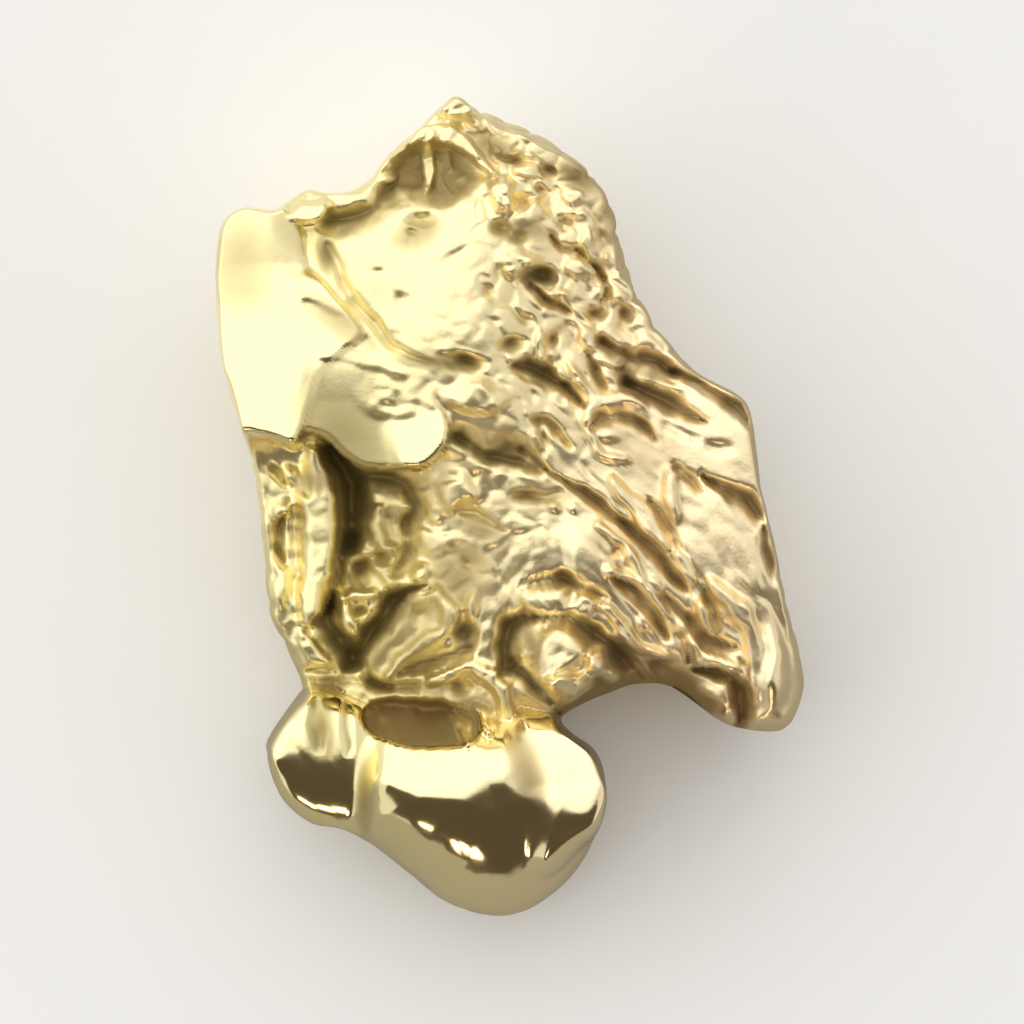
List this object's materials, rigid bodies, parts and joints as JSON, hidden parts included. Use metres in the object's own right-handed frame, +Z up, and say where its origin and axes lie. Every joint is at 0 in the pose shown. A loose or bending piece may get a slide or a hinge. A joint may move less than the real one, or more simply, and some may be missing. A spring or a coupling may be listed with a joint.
{
  "type": "gold nugget",
  "caption": "Placer gold nugget lying on its back: a folded slab, pitted face and rounded lower lobe, worn flat underneath.",
  "frame": {"origin": "centre of the bounding box, on the floor that the nugget lies on", "axes": "+Y along the length, from the rounded lobe to the peak; +X to the right seen from above; +Z up, out of the shown face"},
  "size_m": [0.0144, 0.02, 0.0074],
  "materials": {
    "gold": "native gold, bright and worn smooth on the high lobes, duller in the pits"
  },
  "bodies": {
    "root": {"nugget": "gold"}
  },
  "joints": []
}
